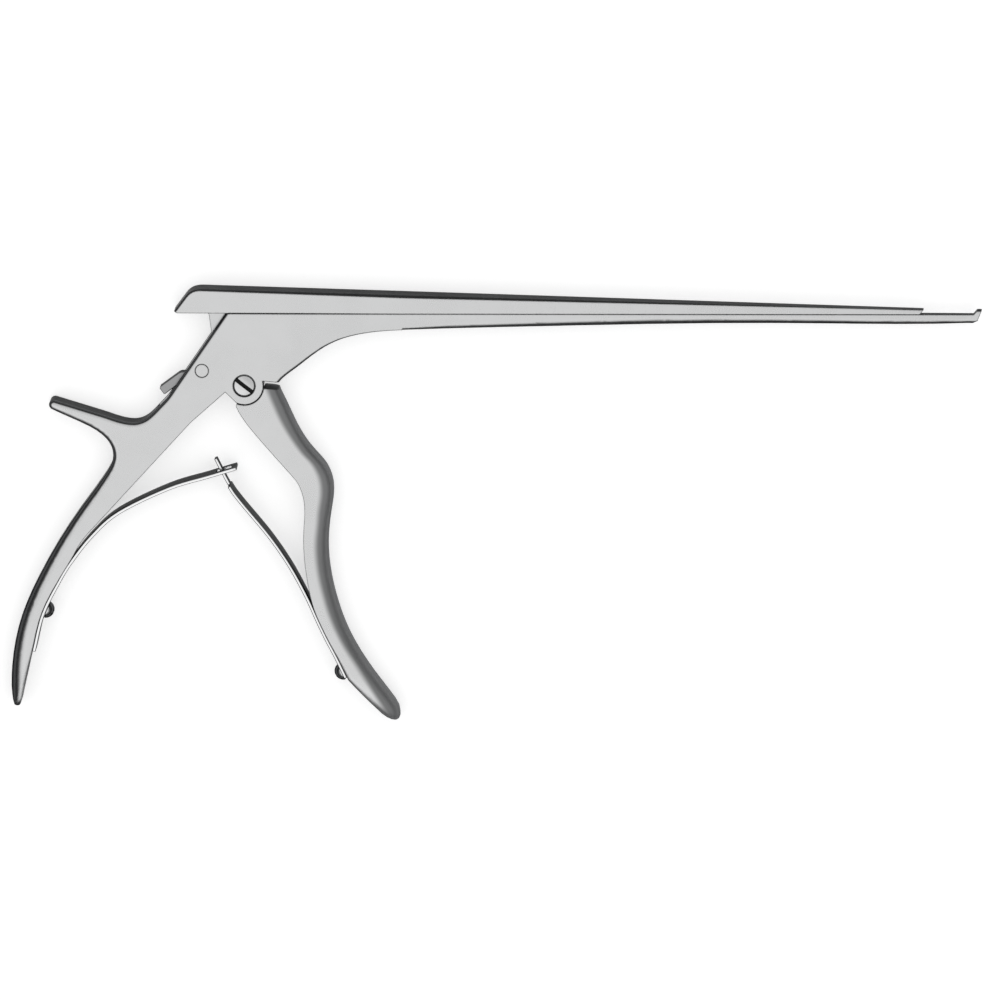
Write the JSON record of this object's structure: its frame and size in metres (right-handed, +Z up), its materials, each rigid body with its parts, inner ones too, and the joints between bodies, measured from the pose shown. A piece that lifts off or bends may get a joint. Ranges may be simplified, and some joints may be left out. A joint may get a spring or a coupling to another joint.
{
  "type": "bone biopsy punch",
  "caption": "Detachable sliding bone punch: slender shank with up-biting foot plate, cutter slide driven by a squeezed trigger, leaf-sprung handles and a release lever.",
  "frame": {"origin": "point where the trigger's pivot axis meets the underside of the frame, on which the punch lies", "axes": "+X along the shaft towards the tip, +Y from the handles towards the slide, +Z up, across the instrument's thickness"},
  "size_m": [0.2827, 0.1279, 0.0094],
  "materials": {
    "frame": "satin",
    "slide": "satin",
    "trigger": "satin",
    "pivot_screw": "satin",
    "lock_lever": "satin",
    "lock_pin": "satin",
    "lock_spring": "satin",
    "rear_leaf_spring": "satin",
    "front_leaf_spring": "satin",
    "rear_spring_screw": "satin",
    "front_spring_screw": "satin"
  },
  "bodies": {
    "frame": {"frame": "frame", "pivot_screw": "pivot_screw", "lock_pin": "lock_pin", "lock_spring": "lock_spring", "rear_leaf_spring": "rear_leaf_spring", "rear_spring_screw": "rear_spring_screw"},
    "trigger": {"trigger": "trigger", "front_leaf_spring": "front_leaf_spring", "front_spring_screw": "front_spring_screw"},
    "slide": {"slide": "slide"},
    "lock_lever": {"lock_lever": "lock_lever"}
  },
  "joints": [
    {"name": "trigger_pivot", "type": "hinge", "parent": "frame", "child": "trigger", "pos_m": [0, 0, 0.0047], "axis": [0, 0, -1], "range_deg": [0, 38.28], "stiffness_Nm_per_rad": 1, "springref_deg": -14.32, "deforming": ["front_leaf_spring", "rear_leaf_spring"]},
    {"name": "slide_travel", "type": "slide", "parent": "frame", "child": "slide", "axis": [1, 0, 0], "range_m": [0, 0.01562]},
    {"name": "lock_release", "type": "hinge", "parent": "frame", "child": "lock_lever", "pos_m": [-0.01226, 0.0044, 0.0047], "axis": [0, 0, 1], "range_deg": [0, 9], "stiffness_Nm_per_rad": 0.02, "springref_deg": -5.73, "deforming": ["lock_spring"]}
  ],
  "couplings": [
    {"joint": "slide_travel", "follows": "trigger_pivot", "m_per_rad": 0.023291}
  ]
}
